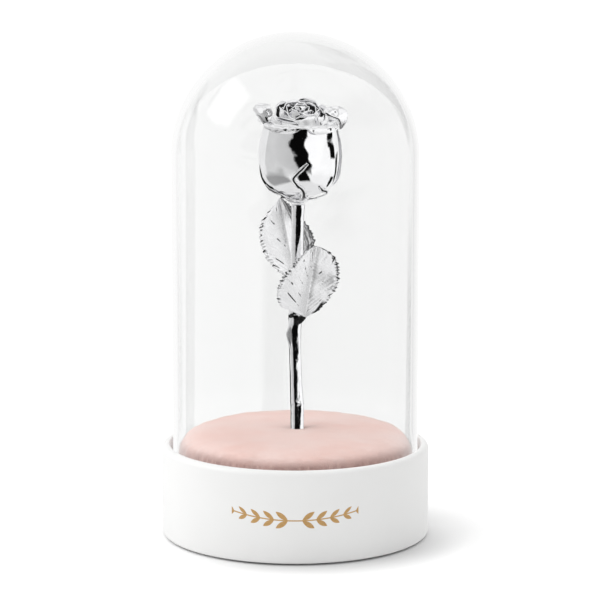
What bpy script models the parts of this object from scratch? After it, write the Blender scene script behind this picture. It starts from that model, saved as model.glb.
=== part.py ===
# Metal-plated rose on a padded base under a glass dome.
# Metres, +Z up. The origin is the centre of the underside, and -Y is the front.

import math

import bmesh
import bpy
from mathutils import Vector

MM = 0.001
GAP = 0.3 * MM                      # left between pieces that touch

# Base, dome and cushion
BASE_RADIUS = 60.0 * MM
BASE_BOTTOM = 0.8 * MM              # the foot pad lifts the base this far
BASE_TOP = 41.4 * MM
BASE_EDGE_ROUND = 2.4 * MM
BASE_FOOT_ROUND = 1.2 * MM
TRAY_RADIUS = 56.5 * MM
TRAY_FLOOR = 33.4 * MM
TRAY_EDGE_ROUND = 0.6 * MM
PAD_RADIUS = 56.0 * MM
PAD_SEAT_DEPTH = 1.6 * MM           # how far the foot pad is let into the base
DOME_RADIUS = 55.0 * MM
DOME_WALL = 2.7 * MM
DOME_TOP = 225.3 * MM
CUSHION_RADIUS = 51.9 * MM
CUSHION_CROWN = 47.6 * MM
CUSHION_DIMPLE = 0.5 * MM           # how far the crown sinks beside the stem
CUSHION_DIMPLE_WIDTH = 1.6 * MM
CUSHION_SHOULDER = 44.4 * MM
CUSHION_SHOULDER_WIDTH = 4.0 * MM
TURN_STEPS = 40                     # facets round each turned piece

# Stem
STEM_RADIUS = 3.0 * MM
STEM_SIDES = 12
SOCKET_FLOOR = 22.0 * MM
SOCKET_RADIUS = 3.9 * MM
CUSHION_HOLE_RADIUS = 3.9 * MM
# height, sideways place and radius as a share of STEM_RADIUS, all along it
STEM_ROUTE = (
    (22.4, 0.5, 0.90), (36.0, 0.6, 0.92), (47.0, 0.8, 0.94), (57.0, 0.8, 0.95), (59.8, 0.75, 0.98),
    (62.5, 0.6, 0.93), (70.0, 0.25, 0.86), (78.0, 0.05, 0.85), (84.0, -0.15, 0.87), (90.0, -0.5, 1.04),
    (95.0, -0.3, 1.06), (98.8, 0.1, 1.18), (102.0, 0.2, 1.0), (112.0, 0.4, 0.96), (128.0, 0.8, 0.94),
    (142.0, 1.1, 0.94), (147.0, 1.2, 0.98), (149.4, 1.25, 1.08),
)

# Flower, in its own frame: radius r from its axis, height h above its base, in millimetres
BLOOM_BASE = Vector((1.3, 0.6, 152.8)) * MM
BLOOM_LEAN_FRONT = 4.0              # degrees
BLOOM_LEAN_RIGHT = 1.5
PETAL_THICKNESS = 0.35 * MM
CUP_OUTLINE = (
    (6.2, 0.4), (10.9, 1.5), (15.8, 4.5), (18.4, 10.0), (19.0, 17.0), (18.3, 23.8), (17.3, 28.6),
    (16.8, 32.0),
)
CUP_RADIUS = 19.0
ROLL_START = 0.84                   # share of the outline where the rim starts to roll outwards
ROLL_CENTRE = (18.5, 32.0)
ROLL_RADII = (1.7, 2.0)
ROLL_END = -50.0                    # degrees past the outermost point of the roll
PETAL_TOP = 34.0
RIM_CLIMB = 6.3                     # how much higher the innermost rims stand
RIM_CLIMB_DEPTH = 3.4
ROOT_INWARDS = 0.28                 # how far a root moves in and up per millimetre of a petal's depth
ROOT_UPWARDS = 0.55
ROOT_WIDTH = 0.34                   # width of a petal's root as a share of its full width
OPEN_SHARE = 0.32                   # where a petal has reached its full width
ROW_SPREAD = 1.5                    # rows of faces are this much wider apart at the root
EDGE_FALL = 0.5                     # how much of the half width the rim takes to fall to the edges
LOBE_START = 0.72
LOBE_WIDTH = 0.24
TILT_START = 0.4
CLOSE_START, CLOSE_END = 0.60, 0.90

CALYX_OUTLINE = (
    (0.0, 9.4), (0.9, 9.0), (5.5, 0.4), (6.2, -0.4), (5.9, -1.3), (4.6, -2.3), (3.3, -3.0), (0.0, -3.0),
)

# Sepals lie along the underside of the petals: azimuth and share of the outline, from the calyx out
SEPAL_PATHS = {
    "sepal_1": ((281, 0.05), (280, 0.16), (277, 0.27), (268, 0.33), (263, 0.375), (267, 0.415),
                (274, 0.455), (281, 0.495)),
    "sepal_2": ((310, 0.05), (316, 0.14), (323, 0.20), (317, 0.25), (308, 0.27), (300, 0.31)),
    "sepal_3": ((52, 0.02), (54, 0.12), (58, 0.20), (56, 0.28)),
    "sepal_4": ((122, 0.02), (121, 0.12), (116, 0.21), (118, 0.29)),
    "sepal_5": ((236, 0.05), (237, 0.13), (241, 0.19), (232, 0.23), (223, 0.26), (217, 0.30)),
}
SEPAL_CLEARANCE = 0.85
SEPAL_THICKNESS = 0.4 * MM
SEPAL_FOOT, SEPAL_MIDDLE, SEPAL_TIP = 1.7, 0.95, 0.45       # half widths

LEAF_THICKNESS = 0.7 * MM
STALK_HALF_WIDTH = 0.9


def clear_scene():
    for old in list(bpy.data.objects):
        bpy.data.objects.remove(old, do_unlink=True)


def make_material(name, colour, roughness, metallic=0.0, transmission=0.0):
    material = bpy.data.materials.new(name)
    material.use_nodes = True
    shader = material.node_tree.nodes["Principled BSDF"]
    shader.inputs["Base Color"].default_value = (*colour, 1.0)
    shader.inputs["Roughness"].default_value = roughness
    shader.inputs["Metallic"].default_value = metallic
    shader.inputs["Transmission Weight"].default_value = transmission
    return material


def add_object(name, mesh, material):
    thing = bpy.data.objects.new(name, mesh)
    bpy.context.scene.collection.objects.link(thing)
    mesh.materials.append(material)
    mesh.shade_smooth()
    mesh.set_sharp_from_angle(angle=math.radians(40))
    return thing


def arc(centre, radius, start, end, steps):
    """Points on an arc in the (r, z) plane, with both ends."""
    points = []
    for step in range(steps + 1):
        angle = math.radians(start + (end - start) * step / steps)
        points.append((centre[0] + radius * math.cos(angle), centre[1] + radius * math.sin(angle)))
    return points


def turn(name, profile, material, closed=False, steps=TURN_STEPS):
    """A round piece: the (r, z) profile runs down its outer side and is turned about Z."""
    mesh = bpy.data.meshes.new(name)
    edges = [(i, i + 1) for i in range(len(profile) - 1)]
    if closed:
        edges.append((len(profile) - 1, 0))
    mesh.from_pydata([(r, 0.0, z) for r, z in profile], edges, [])
    thing = add_object(name, mesh, material)
    screw = thing.modifiers.new("turn", "SCREW")
    screw.steps = steps
    screw.render_steps = steps
    screw.use_merge_vertices = True
    screw.merge_threshold = 0.01 * MM
    return thing


def foot_pad(material):
    top = BASE_BOTTOM + PAD_SEAT_DEPTH - GAP
    return turn("foot_pad", [(0.0, top), (PAD_RADIUS, top), (PAD_RADIUS, 0.0), (0.0, 0.0)], material)


def base(material):
    rim_centre = (BASE_RADIUS - BASE_EDGE_ROUND, BASE_TOP - BASE_EDGE_ROUND)
    lip_centre = (TRAY_RADIUS + TRAY_EDGE_ROUND, BASE_TOP - TRAY_EDGE_ROUND)
    foot_centre = (BASE_RADIUS - BASE_FOOT_ROUND, BASE_BOTTOM + BASE_FOOT_ROUND)
    seat_radius = PAD_RADIUS + GAP
    seat_top = BASE_BOTTOM + PAD_SEAT_DEPTH
    profile = [(0.0, SOCKET_FLOOR), (SOCKET_RADIUS, SOCKET_FLOOR), (SOCKET_RADIUS, TRAY_FLOOR)]
    profile += [(TRAY_RADIUS, TRAY_FLOOR)]
    profile += arc(lip_centre, TRAY_EDGE_ROUND, 180, 90, 2)
    profile += arc(rim_centre, BASE_EDGE_ROUND, 90, 0, 4)
    profile += arc(foot_centre, BASE_FOOT_ROUND, 0, -90, 2)
    profile += [(seat_radius, BASE_BOTTOM), (seat_radius, seat_top), (0.0, seat_top)]
    return turn("base", profile, material)


def cushion(material):
    bottom = TRAY_FLOOR + GAP
    crown = [(CUSHION_HOLE_RADIUS, bottom), (CUSHION_HOLE_RADIUS, CUSHION_CROWN - CUSHION_DIMPLE)]
    crown += [(CUSHION_HOLE_RADIUS + CUSHION_DIMPLE_WIDTH, CUSHION_CROWN)]
    rise = CUSHION_CROWN - CUSHION_SHOULDER
    shoulder = CUSHION_RADIUS - CUSHION_SHOULDER_WIDTH
    for share in (0.3, 0.6, 0.85, 1.0):
        crown.append((shoulder * share, CUSHION_CROWN - rise * share ** 3))
    crown += [(CUSHION_RADIUS - 1.3 * MM, CUSHION_SHOULDER - 1.8 * MM)]
    crown += [(CUSHION_RADIUS, CUSHION_SHOULDER - 5.0 * MM), (CUSHION_RADIUS, bottom + 2.0 * MM)]
    crown += [(CUSHION_RADIUS - 1.5 * MM, bottom)]
    return turn("cushion", crown, material, closed=True)


def glass_dome(material):
    inner_radius = DOME_RADIUS - DOME_WALL
    centre = (0.0, DOME_TOP - DOME_RADIUS)
    foot = TRAY_FLOOR + GAP
    profile = arc(centre, DOME_RADIUS, 90, 0, 8)
    profile += [(DOME_RADIUS, foot), (inner_radius, foot)]
    profile += arc(centre, inner_radius, 0, 90, 8)
    profile[0] = (0.0, DOME_TOP)
    profile[-1] = (0.0, DOME_TOP - DOME_WALL)
    return turn("glass_dome", profile, material)


def smooth_step(low, high, value):
    share = min(1.0, max(0.0, (value - low) / (high - low)))
    return share * share * (3.0 - 2.0 * share)


def spline_point(points, share):
    """A point at 0..1 along a Catmull-Rom curve through the points."""
    spans = len(points) - 1
    place = min(max(share, 0.0), 1.0) * spans
    index = min(int(place), spans - 1)
    t = place - index
    b, c = Vector(points[index]), Vector(points[index + 1])
    a = Vector(points[index - 1]) if index > 0 else b * 2.0 - c
    d = Vector(points[index + 2]) if index + 2 <= spans else c * 2.0 - b
    return 0.5 * (2.0 * b + (c - a) * t + (2.0 * a - 5.0 * b + 4.0 * c - d) * t * t
                  + (3.0 * b - a - 3.0 * c + d) * t ** 3)


def table_value(table, place):
    """Straight lines through the (place, value) pairs."""
    for low, high in zip(table, table[1:]):
        if place <= high[0]:
            return low[1] + (high[1] - low[1]) * (place - low[0]) / (high[0] - low[0])
    return table[-1][1]


def stem(material):
    curve = bpy.data.curves.new("stem", "CURVE")
    curve.dimensions = "3D"
    curve.bevel_depth = STEM_RADIUS
    curve.bevel_resolution = STEM_SIDES // 4 - 1
    curve.use_fill_caps = True
    spline = curve.splines.new("POLY")
    spline.points.add(len(STEM_ROUTE) - 1)
    for point, (height, side, share) in zip(spline.points, STEM_ROUTE):
        point.co = (side * MM, 0.0, height * MM, 1.0)
        point.radius = share
    curve.materials.append(material)
    thing = bpy.data.objects.new("stem", curve)
    bpy.context.scene.collection.objects.link(thing)
    return thing


# Flower

def cup_point(share):
    """The outermost petal surface at 0..1 from its root to the end of its rolled rim."""
    if share <= ROLL_START:
        return spline_point(CUP_OUTLINE, share / ROLL_START)
    angle = math.radians(180.0 + (ROLL_END - 180.0) * (share - ROLL_START) / (1.0 - ROLL_START))
    return Vector((ROLL_CENTRE[0] + ROLL_RADII[0] * math.cos(angle),
                   ROLL_CENTRE[1] + ROLL_RADII[1] * math.sin(angle)))


def layer_point(share, depth):
    """The same curve moved inwards by depth: its root climbs the cone and its rim stands higher."""
    outer = cup_point(share)
    root_r, root_h = CUP_OUTLINE[0]
    r = root_r - ROOT_INWARDS * depth
    h = root_h + ROOT_UPWARDS * depth
    top = PETAL_TOP + RIM_CLIMB * (1.0 - math.exp(-(depth / RIM_CLIMB_DEPTH) ** 2))
    widen = (CUP_RADIUS - depth - r) / (CUP_RADIUS - root_r)
    lift = (top - h) / (PETAL_TOP - root_h)
    return r + (outer.x - root_r) * widen, h + (outer.y - root_h) * lift


def shaped_grid(name, across, along, place, thickness, material, frame):
    """A sheet of across x along faces, each corner put in place by its (u, v), then thickened."""
    shape = bmesh.new()
    bmesh.ops.create_grid(shape, x_segments=across, y_segments=along, size=1.0)
    for vert in shape.verts:
        vert.co = place(vert.co.x, (vert.co.y + 1.0) / 2.0) * MM
    mesh = bpy.data.meshes.new(name)
    shape.to_mesh(mesh)
    shape.free()
    thing = add_object(name, mesh, material)
    thing.parent = frame
    thicken = thing.modifiers.new("thickness", "SOLIDIFY")
    thicken.thickness = thickness
    thicken.offset = 0.0
    thicken.use_even_offset = True
    return thing


def petal(name, material, frame, azimuth, half_width, depth, reach, edge_reach, fall_start, lobe=None,
          tilt=(0.0, 0.0), closing=0.0, across=6, along=8):
    """One petal. reach is how far along the cup curve its rim comes, edge_reach the same at its edges, and
    fall_start how far out the rim starts to fall. lobe is the place across of a corner that turns outwards,
    with how far it goes out and up. tilt lifts the rim per millimetre towards the front and the back, and
    closing draws it in."""

    def place(u, v):
        rim = reach + (edge_reach - reach) * smooth_step(fall_start, fall_start + EDGE_FALL, abs(u))
        share = v * (ROW_SPREAD - (ROW_SPREAD - 1.0) * v) * rim
        r, h = layer_point(share, depth)
        r *= 1.0 - closing * smooth_step(CLOSE_START, CLOSE_END, share)
        if lobe:
            drawn = smooth_step(LOBE_START, 1.0, v) * math.exp(-((u - lobe[0]) / LOBE_WIDTH) ** 2)
            r += lobe[1] * drawn
            h += lobe[2] * drawn
        opened = ROOT_WIDTH + (1.0 - ROOT_WIDTH) * smooth_step(0.0, OPEN_SHARE, v)
        angle = math.radians(azimuth + half_width * opened * u)
        backwards = r * math.sin(angle)
        h += tilt[0 if backwards < 0.0 else 1] * backwards * smooth_step(TILT_START, 1.0, v)
        return Vector((r * math.cos(angle), backwards, h))

    return shaped_grid(name, across, along, place, PETAL_THICKNESS, material, frame)


def outer_petals(material, frame):
    """Five that overlap as a rose's do. The two at the sides turn their front corners outwards."""
    petal("petal_outer_1", material, frame, 272, 54, 0.0, 1.00, 0.97, 0.5)
    petal("petal_outer_2", material, frame, 54, 56, 0.2, 0.96, 0.91, 0.4)
    petal("petal_outer_3", material, frame, 184, 55, 1.2, 0.92, 0.86, 0.4, lobe=(0.16, 4.4, 4.8))
    petal("petal_outer_4", material, frame, 354, 55, 1.3, 0.92, 0.86, 0.4, lobe=(-0.16, 4.0, 4.6))
    petal("petal_outer_5", material, frame, 124, 54, 2.2, 0.92, 0.79, 0.0)


def wound_petals(material, frame):
    """The rest wind inwards, each a golden angle on from the last and a little deeper."""
    names = [f"petal_middle_{n}" for n in range(1, 6)]
    names += [f"petal_inner_{n}" for n in range(1, 5)]
    names += [f"petal_core_{n}" for n in range(1, 7)]
    first_azimuth, golden_angle = 238.0, 137.5
    first_depth, inwards = 3.3, 0.78
    for index, name in enumerate(names):
        share = index / (len(names) - 1)
        petal(name, material, frame, first_azimuth + golden_angle * index, 54.0 + 24.0 * share,
              first_depth + inwards * index, 0.865 - 0.02 * share, 0.82 - 0.02 * share, 0.25,
              tilt=(0.18, 0.28), closing=0.15, across=6, along=5)


def centre_petal(material, frame):
    """The middle petal, rolled up like a scroll."""
    turns, first_angle = 1.6, 200.0
    outer_r, inner_r = 2.5, 0.9
    foot_share = 0.45               # the scroll is this much narrower at its foot
    low, high, fall = 9.8, 40.4, 0.8

    def place(u, v):
        share = (u + 1.0) / 2.0
        angle = math.radians(first_angle) + share * turns * math.tau
        opened = foot_share + (1.0 - foot_share) * smooth_step(0.0, 0.6, v)
        r = (outer_r + (inner_r - outer_r) * share) * opened
        return Vector((r * math.cos(angle), r * math.sin(angle), low + (high - low) * v - fall * share * v))

    return shaped_grid("petal_centre", 18, 3, place, PETAL_THICKNESS, material, frame)


def sepal(name, path, material, frame):
    """A narrow leaf that follows the underside of the flower."""

    def under(v):
        azimuth, share = spline_point(path, v)
        outer = cup_point(share)
        slope = (cup_point(share + 0.01) - cup_point(share - 0.01)).normalized()
        angle = math.radians(azimuth)
        face = Vector((slope.y * math.cos(angle), slope.y * math.sin(angle), -slope.x))
        return Vector((outer.x * math.cos(angle), outer.x * math.sin(angle), outer.y)), face

    def place(u, v):
        spot, face = under(v)
        along = under(min(v + 0.02, 1.0))[0] - under(max(v - 0.02, 0.0))[0]
        width = SEPAL_MIDDLE + (SEPAL_FOOT - SEPAL_MIDDLE) * (1.0 - smooth_step(0.0, 0.4, v))
        width += (SEPAL_TIP - SEPAL_MIDDLE) * smooth_step(0.85, 1.0, v)
        return spot + along.cross(face).normalized() * (u * width) + face * SEPAL_CLEARANCE

    return shaped_grid(name, 2, 2 * len(path), place, SEPAL_THICKNESS, material, frame)


def flower(material):
    frame = bpy.data.objects.new("flower", None)
    bpy.context.scene.collection.objects.link(frame)
    frame.location = BLOOM_BASE
    frame.rotation_euler = (math.radians(BLOOM_LEAN_FRONT), math.radians(BLOOM_LEAN_RIGHT), 0.0)
    calyx = turn("calyx", [(r * MM, h * MM) for r, h in CALYX_OUTLINE], material, steps=20)
    calyx.parent = frame
    for name, path in SEPAL_PATHS.items():
        sepal(name, path, material, frame)
    outer_petals(material, frame)
    wound_petals(material, frame)
    centre_petal(material, frame)
    return frame


# Leaves

def leaf(name, material, stalk, stalk_share, tip, bow, facing, left, right, fold=0.05):
    """A leaf with its stalk. stalk holds the stalk's points in millimetres, the last being the foot of
    the blade, and takes up stalk_share of the rows. tip is the blade's point, bow lifts the middle of the
    blade along facing, and fold is the rise of the edges. left and right hold pairs of a share of the
    blade's length and the half width there."""
    foot = Vector(stalk[-1])
    point = Vector(tip)
    upward = (point - foot).normalized()
    across = upward.cross(Vector(facing)).normalized()
    face = across.cross(upward)

    def place(u, v):
        if v < stalk_share:
            middle = spline_point(stalk, v / stalk_share)
            ahead = spline_point(stalk, min(1.0, v / stalk_share + 0.05))
            behind = spline_point(stalk, max(0.0, v / stalk_share - 0.05))
            side = (ahead - behind).cross(face).normalized()
            return middle + side * (STALK_HALF_WIDTH * u)
        share = (v - stalk_share) / (1.0 - stalk_share)
        middle = foot.lerp(point, share) + face * (bow * math.sin(math.pi * share))
        width = max(table_value(left if u < 0.0 else right, share), 0.3)
        return middle + across * (width * u) + face * (fold * abs(u) * width)

    return shaped_grid(name, 6, 16, place, LEAF_THICKNESS, material, None)


def leaves(material):
    leaf("leaf_front", material, stalk=((1.2, -4.1, 96.4), (2.4, -5.4, 97.6), (4.2, -6.4, 99.8)),
         stalk_share=0.12, tip=(9.3, -17.0, 132.8), bow=0.8, facing=(-0.10, -1.0, 0.0),
         left=((0, 1.2), (0.08, 11.4), (0.22, 13.8), (0.35, 13.9), (0.53, 12.4), (0.75, 7.8), (0.89, 4.6),
               (1, 0.3)),
         right=((0, 1.2), (0.12, 5.7), (0.27, 8.8), (0.5, 12.0), (0.61, 12.4), (0.8, 11.2), (0.93, 8.0),
                (1, 0.6)))
    leaf("leaf_back", material, stalk=((-0.4, 4.5, 97.5), (-0.5, 5.8, 103.0), (-0.3, 6.4, 114.6)),
         stalk_share=0.22, tip=(-7.0, 22.0, 149.4), bow=-0.8, facing=(-0.12, -1.0, 0.0),
         left=((0, 1.2), (0.14, 7.0), (0.31, 11.2), (0.55, 12.7), (0.71, 11.6), (0.84, 7.6), (0.94, 2.4),
               (1, 0.3)),
         right=((0, 1.2), (0.1, 5.4), (0.3, 11.3), (0.4, 12.4), (0.6, 10.4), (0.8, 6.2), (0.96, 1.8),
                (1, 0.3)))


def build():
    clear_scene()
    lacquer = make_material("white_lacquer", (0.90, 0.89, 0.87), 0.35)
    felt = make_material("dark_felt", (0.03, 0.03, 0.03), 0.95)
    velvet = make_material("pink_velvet", (0.88, 0.66, 0.60), 0.95)
    glass = make_material("clear_glass", (1.0, 1.0, 1.0), 0.0, transmission=1.0)
    silver = make_material("silver_plate", (0.86, 0.86, 0.87), 0.08, metallic=1.0)
    foot_pad(felt)
    base(lacquer)
    cushion(velvet)
    glass_dome(glass)
    stem(silver)
    flower(silver)
    leaves(silver)


build()
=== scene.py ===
# Metal-plated rose on a padded base under a glass dome. The front of the flower faces -Y.
# The dictionaries give lengths in millimetres and angles in degrees, unless a note says otherwise.
import math
import bpy
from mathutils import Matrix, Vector, noise


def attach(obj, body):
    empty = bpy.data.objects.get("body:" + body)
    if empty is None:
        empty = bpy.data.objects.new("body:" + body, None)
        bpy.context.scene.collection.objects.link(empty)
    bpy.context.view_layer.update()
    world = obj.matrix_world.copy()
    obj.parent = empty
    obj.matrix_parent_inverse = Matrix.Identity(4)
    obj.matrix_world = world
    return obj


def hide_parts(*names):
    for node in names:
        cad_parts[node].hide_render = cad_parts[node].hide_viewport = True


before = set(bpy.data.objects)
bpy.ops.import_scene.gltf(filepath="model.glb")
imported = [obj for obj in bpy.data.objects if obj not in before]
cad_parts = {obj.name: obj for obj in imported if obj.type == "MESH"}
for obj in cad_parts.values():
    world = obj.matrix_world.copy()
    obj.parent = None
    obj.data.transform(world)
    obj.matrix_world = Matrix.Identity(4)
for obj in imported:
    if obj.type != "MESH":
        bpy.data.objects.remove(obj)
bpy.ops.object.select_all(action="DESELECT")
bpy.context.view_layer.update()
mm = 0.001
print("frame loaded:", len(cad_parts), "CAD nodes")


# Small tools

def smoothStep(low, high, value):
    share = min(1.0, max(0.0, (value - low) / (high - low)))
    return share * share * (3.0 - 2.0 * share)


def hump(value, centre, width):  # 1 at the centre, gone by about two widths
    return math.exp(-((value - centre) / width) ** 2)


def curvePoint(points, share):  # smooth curve through the points, 0 at the first and 1 at the last
    spans = len(points) - 1
    place = min(max(share, 0.0), 1.0) * spans
    index = min(int(place), spans - 1)
    t = place - index
    b, c = Vector(points[index]), Vector(points[index + 1])
    a = Vector(points[index - 1]) if index > 0 else b * 2.0 - c
    d = Vector(points[index + 2]) if index + 2 <= spans else c * 2.0 - b
    return 0.5 * (2.0 * b + (c - a) * t + (2.0 * a - 5.0 * b + 4.0 * c - d) * t * t
                  + (3.0 * b - a - 3.0 * c + d) * t ** 3)


def tableValue(table, place):  # straight lines through the rows, each a place and its value
    for low, high in zip(table, table[1:]):
        if place <= high[0]:
            return low[1] + (high[1] - low[1]) * (place - low[0]) / (high[0] - low[0])
    return table[-1][1]


def around(turn, radius=1.0, height=0.0):  # the place at that turn round the axis, in radians
    return Vector((radius * math.cos(turn), radius * math.sin(turn), height))


def noiseAt(x, y, z):
    return noise.noise(Vector((x, y, z)))


def noiseOf(setting, x, y, z):  # the setting is its size, its scale across and up, and its start
    size, across, up, start = setting
    return size * noiseAt(x * across, y * across, z * up + start)


def setMode(mode):
    bpy.ops.object.mode_set(mode=mode)


def choose(piece):  # the only one selected, and active
    bpy.ops.object.select_all(action="DESELECT")
    piece.select_set(True)
    bpy.context.view_layer.objects.active = piece


def startPiece(name):  # the primitive just added, with its place put into its mesh
    piece = bpy.context.active_object
    piece.name = name
    piece.data.name = name
    bpy.ops.object.transform_apply(location=True, rotation=True, scale=True)
    return piece


def addCylinder(name, sides, radius, bottom, top):
    bpy.ops.mesh.primitive_cylinder_add(vertices=sides, radius=radius * mm, depth=(top - bottom) * mm,
                                        location=(0, 0, (bottom + (top - bottom) / 2) * mm))
    return startPiece(name)


def pick(piece, kind, test):  # edit mode with only the faces or edges selected that pass the test
    bpy.context.view_layer.objects.active = piece
    setMode("EDIT")
    bpy.ops.mesh.select_mode(type=kind)
    bpy.ops.mesh.select_all(action="DESELECT")
    setMode("OBJECT")
    mesh = piece.data
    if kind == "FACE":
        for face in mesh.polygons:
            face.select = test(face.center / mm, face.normal)
    else:
        for edge in mesh.edges:
            edge.select = test(*(mesh.vertices[index].co / mm for index in edge.vertices))
    setMode("EDIT")


def pickAll():
    setMode("EDIT")
    bpy.ops.mesh.select_all(action="SELECT")


def extrude(move):
    bpy.ops.mesh.extrude_region_move(TRANSFORM_OT_translate={"value": Vector(move) * mm})


def inset(width):
    bpy.ops.mesh.inset(thickness=width * mm)


def roundRing(piece, radius, height, width, segments):  # bevels the ring of edges at that radius and height
    near = 0.05

    def onRing(*ends):
        return all(abs(end.z - height) < near and abs(end.xy.length - radius) < near for end in ends)

    pick(piece, "EDGE", onRing)
    bpy.ops.mesh.bevel(offset=width * mm, segments=segments, profile=0.5, affect="EDGES")
    setMode("OBJECT")


def useModifier(piece, kind, **settings):
    modifier = piece.modifiers.new(kind.lower(), kind)
    for key, value in settings.items():
        setattr(modifier, key, value)
    bpy.context.view_layer.objects.active = piece
    bpy.ops.object.modifier_apply(modifier=modifier.name)


def subdivide(piece, levels):
    useModifier(piece, "SUBSURF", levels=levels, render_levels=levels)


def moveVertices(piece, move):  # move takes and gives a place in millimetres
    for vertex in piece.data.vertices:
        vertex.co = move(vertex.co / mm) * mm


def finishPiece(piece, material, slotName, *nodes, angle=None):
    piece.data.materials.clear()
    piece.data.materials.append(material)
    choose(piece)
    if angle is None:
        bpy.ops.object.shade_smooth()
    else:
        bpy.ops.object.shade_smooth_by_angle(angle=math.radians(angle))
    piece.select_set(False)
    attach(piece, "root")
    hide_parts(*nodes)


# Node tools. Each new node goes into the tree that its first socket is in.

def addNode(tree, kind, inputs=None, **settings):
    node = tree.nodes.new(kind)
    for key, value in settings.items():
        setattr(node, key, value)
    for key, value in (inputs or {}).items():
        if isinstance(value, bpy.types.NodeSocket):
            tree.links.new(value, node.inputs[key])
        else:
            node.inputs[key].default_value = value
    return node


def calc(operation, *values):
    tree = next(value.id_data for value in values if isinstance(value, bpy.types.NodeSocket))
    return addNode(tree, "ShaderNodeMath", dict(enumerate(values)), operation=operation).outputs[0]


def times(a, b):
    return calc("MULTIPLY", a, b)


def minus(a, b):
    return calc("SUBTRACT", a, b)


def timesAdd(a, b, c):
    return calc("MULTIPLY_ADD", a, b, c)


def apart(a, b):
    return calc("ABSOLUTE", minus(a, b))


def mapRange(value, low, high, toLow=0.0, toHigh=1.0):
    inputs = dict(enumerate((value, low, high, toLow, toHigh)))
    return addNode(value.id_data, "ShaderNodeMapRange", inputs).outputs[0]


def mixColour(factor, first, second):
    inputs = {0: factor, 6: first, 7: second}
    return addNode(factor.id_data, "ShaderNodeMix", inputs, data_type="RGBA").outputs[2]


def noiseTexture(vector, scale, detail, distortion=0.0):
    inputs = {"Vector": vector, "Scale": scale, "Detail": detail, "Distortion": distortion}
    return addNode(vector.id_data, "ShaderNodeTexNoise", inputs).outputs[0]


def vectorMath(operation, vector, inputs=None):
    inputs = {0: vector, **(inputs or {})}
    return addNode(vector.id_data, "ShaderNodeVectorMath", inputs, operation=operation).outputs


def remap(vector, scale, rotation=(0.0, 0.0, 0.0)):
    inputs = {"Vector": vector, "Rotation": rotation, "Scale": scale}
    return addNode(vector.id_data, "ShaderNodeMapping", inputs).outputs[0]


def splitVector(vector):
    return addNode(vector.id_data, "ShaderNodeSeparateXYZ", {0: vector}).outputs


def objectPlace(tree):
    return addNode(tree, "ShaderNodeTexCoord").outputs["Object"]


def newGroup(name, inputs, outputs):
    group = bpy.data.node_groups.new(name, "ShaderNodeTree")
    for direction, sockets in (("INPUT", inputs), ("OUTPUT", outputs)):
        for label, kind in sockets.items():
            group.interface.new_socket(name=label, in_out=direction, socket_type="NodeSocket" + kind)
    return group, group.nodes.new("NodeGroupInput").outputs, group.nodes.new("NodeGroupOutput").inputs


def setSockets(node, **values):  # values name the node's sockets, with spaces left out
    for socket in node.inputs:
        value = values.get(socket.name.replace(" ", ""))
        if isinstance(value, bpy.types.NodeSocket):
            node.id_data.links.new(value, socket)
        elif value is not None:
            socket.default_value = value


def newMaterial(name, **values):
    material = bpy.data.materials.new(name)
    material.use_nodes = True
    shader = material.node_tree.nodes["Principled BSDF"]
    setSockets(shader, **values)
    return material, material.node_tree, shader


def addBump(shader, height, distance):
    bumpNode = addNode(shader.id_data, "ShaderNodeBump", {"Height": height, "Distance": distance * mm})
    setSockets(shader, Normal=bumpNode.outputs[0])


def letThrough(tree, surface, factor):  # rays that the factor marks pass as if nothing was there
    through = addNode(tree, "ShaderNodeBsdfTransparent").outputs[0]
    return addNode(tree, "ShaderNodeMixShader", {0: factor, 1: surface, 2: through}).outputs[0]


# Shared effect: slow drift and fine grain over a surface, each as a mask, and a height from both

mostNoise = (0.3, 0.7)  # nearly all that a noise texture gives lies between these


def makeUnevenGroup():
    group, given, result = newGroup(
        "unevenFinish",
        {"Vector": "Vector", "Drift Scale": "Float", "Grain Scale": "Float", "Grain Share": "Float"},
        {"Drift": "Float", "Grain": "Float", "Height": "Float"})
    drift = noiseTexture(given["Vector"], given["Drift Scale"], 3.0, 0.4)
    grain = noiseTexture(given["Vector"], given["Grain Scale"], 4.0)
    height = timesAdd(drift, minus(1.0, given["Grain Share"]), times(grain, given["Grain Share"]))
    for label, value in (("Drift", drift), ("Grain", grain), ("Height", height)):
        group.links.new(value, result[label])
    return group


unevenGroup = makeUnevenGroup()


def addUneven(vector, drift, grain, share):
    inputs = {"Vector": vector, "Drift Scale": drift, "Grain Scale": grain, "Grain Share": share}
    return addNode(vector.id_data, "ShaderNodeGroup", inputs, node_tree=unevenGroup).outputs


# Silver plating, one finish each for petals, leaves, stem and joint

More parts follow.
